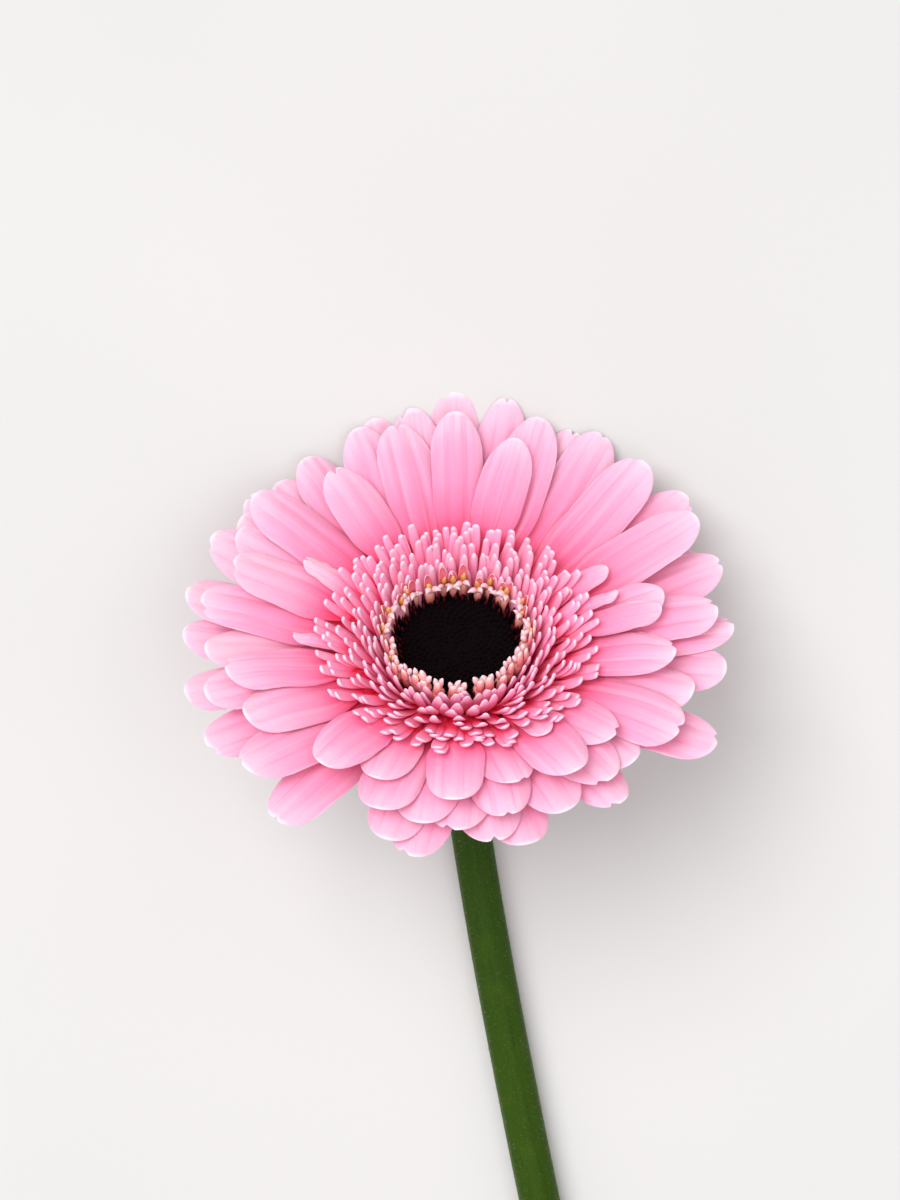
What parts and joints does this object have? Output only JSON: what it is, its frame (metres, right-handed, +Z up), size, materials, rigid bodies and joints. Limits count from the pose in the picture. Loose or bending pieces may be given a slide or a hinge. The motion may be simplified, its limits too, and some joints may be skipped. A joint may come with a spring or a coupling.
{
  "type": "cut gerbera",
  "caption": "Cut pink gerbera with layered ray florets, a dark centre, a green involucre and a long leafless stem, lying on a surface.",
  "frame": {"origin": "middle of the underside of the whole flower's box, on the surface it lies on", "axes": "+Z up from the surface, +Y along the stem away from the head, the face looks towards -Y and up"},
  "size_m": [0.1148, 0.3568, 0.0626],
  "materials": {
    "stem": "satin",
    "receptacle": "matte",
    "bracts": "matte",
    "ray_petals": "satin",
    "trans_petals": "satin",
    "disc_florets": "satin",
    "disc_buds": "satin"
  },
  "bodies": {
    "root": {"stem": "stem", "receptacle": "receptacle", "inner_bracts": "bracts", "outer_bracts": "bracts", "disc_floret_buds": "disc_buds", "open_disc_florets": "disc_florets", "trans_florets_outer": "trans_petals", "trans_florets_middle": "trans_petals", "trans_florets_inner": "trans_petals", "ray_floret_01": "ray_petals", "ray_floret_02": "ray_petals", "ray_floret_03": "ray_petals", "ray_floret_04": "ray_petals", "ray_floret_05": "ray_petals", "ray_floret_06": "ray_petals", "ray_floret_07": "ray_petals", "ray_floret_08": "ray_petals", "ray_floret_09": "ray_petals", "ray_floret_10": "ray_petals", "ray_floret_11": "ray_petals", "ray_floret_12": "ray_petals", "ray_floret_13": "ray_petals", "ray_floret_14": "ray_petals", "ray_floret_15": "ray_petals", "ray_floret_16": "ray_petals", "ray_floret_17": "ray_petals", "ray_floret_18": "ray_petals", "ray_floret_19": "ray_petals", "ray_floret_20": "ray_petals", "ray_floret_21": "ray_petals", "ray_floret_22": "ray_petals", "ray_floret_23": "ray_petals", "ray_floret_24": "ray_petals", "ray_floret_25": "ray_petals", "ray_floret_26": "ray_petals", "ray_floret_27": "ray_petals", "ray_floret_28": "ray_petals", "ray_floret_29": "ray_petals", "ray_floret_30": "ray_petals", "ray_floret_31": "ray_petals", "ray_floret_32": "ray_petals", "ray_floret_33": "ray_petals", "ray_floret_34": "ray_petals", "ray_floret_35": "ray_petals", "ray_floret_36": "ray_petals", "ray_floret_37": "ray_petals", "ray_floret_38": "ray_petals", "ray_floret_39": "ray_petals", "ray_floret_40": "ray_petals", "ray_floret_41": "ray_petals", "ray_floret_42": "ray_petals", "ray_floret_43": "ray_petals", "ray_floret_44": "ray_petals", "ray_floret_45": "ray_petals", "ray_floret_46": "ray_petals", "ray_floret_47": "ray_petals", "ray_floret_48": "ray_petals", "ray_floret_49": "ray_petals", "ray_floret_50": "ray_petals"}
  },
  "joints": []
}
